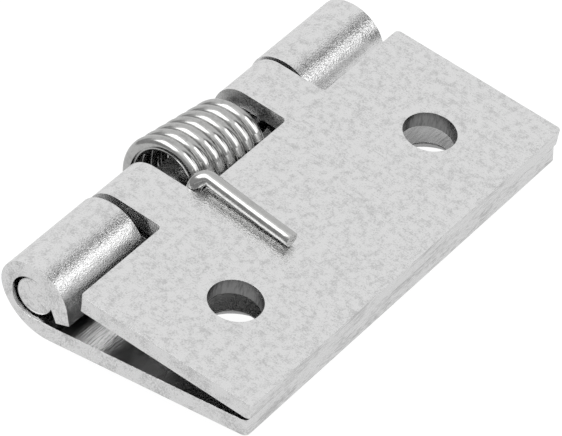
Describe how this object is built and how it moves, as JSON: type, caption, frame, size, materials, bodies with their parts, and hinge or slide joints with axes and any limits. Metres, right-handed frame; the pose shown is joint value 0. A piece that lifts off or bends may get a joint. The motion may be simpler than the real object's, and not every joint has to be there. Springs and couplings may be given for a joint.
{
  "type": "spring hinge",
  "caption": "Self-closing sheet steel hinge: two rolled leaves turn on one pin, and a torsion spring round the pin, with a leg on each leaf, presses them together.",
  "frame": {"origin": "on the inner face of the lower leaf, midway between its two screw holes; the pin axis passes 15.5 mm towards -X and 2.2 mm above", "axes": "+X runs from the pin towards the free edges of the leaves, +Y runs along the pin, +Z is the normal of the lower leaf's inner face and points to the upper leaf"},
  "size_m": [0.0298, 0.0501, 0.0107],
  "materials": {
    "lower_leaf_steel": "bright zinc-plated sheet steel, fine grain",
    "upper_leaf_steel": "bright zinc-plated sheet steel, fine grain",
    "hinge_pin_steel": "cropped steel rod, zinc-plated",
    "torsion_spring_steel": "drawn spring wire, glossy"
  },
  "bodies": {
    "fixed_leaf": {"lower_leaf": "lower_leaf_steel", "hinge_pin": "hinge_pin_steel", "torsion_spring": "torsion_spring_steel"},
    "moving_leaf": {"upper_leaf": "upper_leaf_steel"}
  },
  "joints": [
    {"name": "leaf_hinge", "type": "hinge", "parent": "fixed_leaf", "child": "moving_leaf", "pos_m": [-0.0155, 0, 0.0022], "axis": [0, -1, 0], "range_deg": [0, 170], "stiffness_Nm_per_rad": 0.26, "springref_deg": -20.05, "deforming": ["torsion_spring"]}
  ]
}
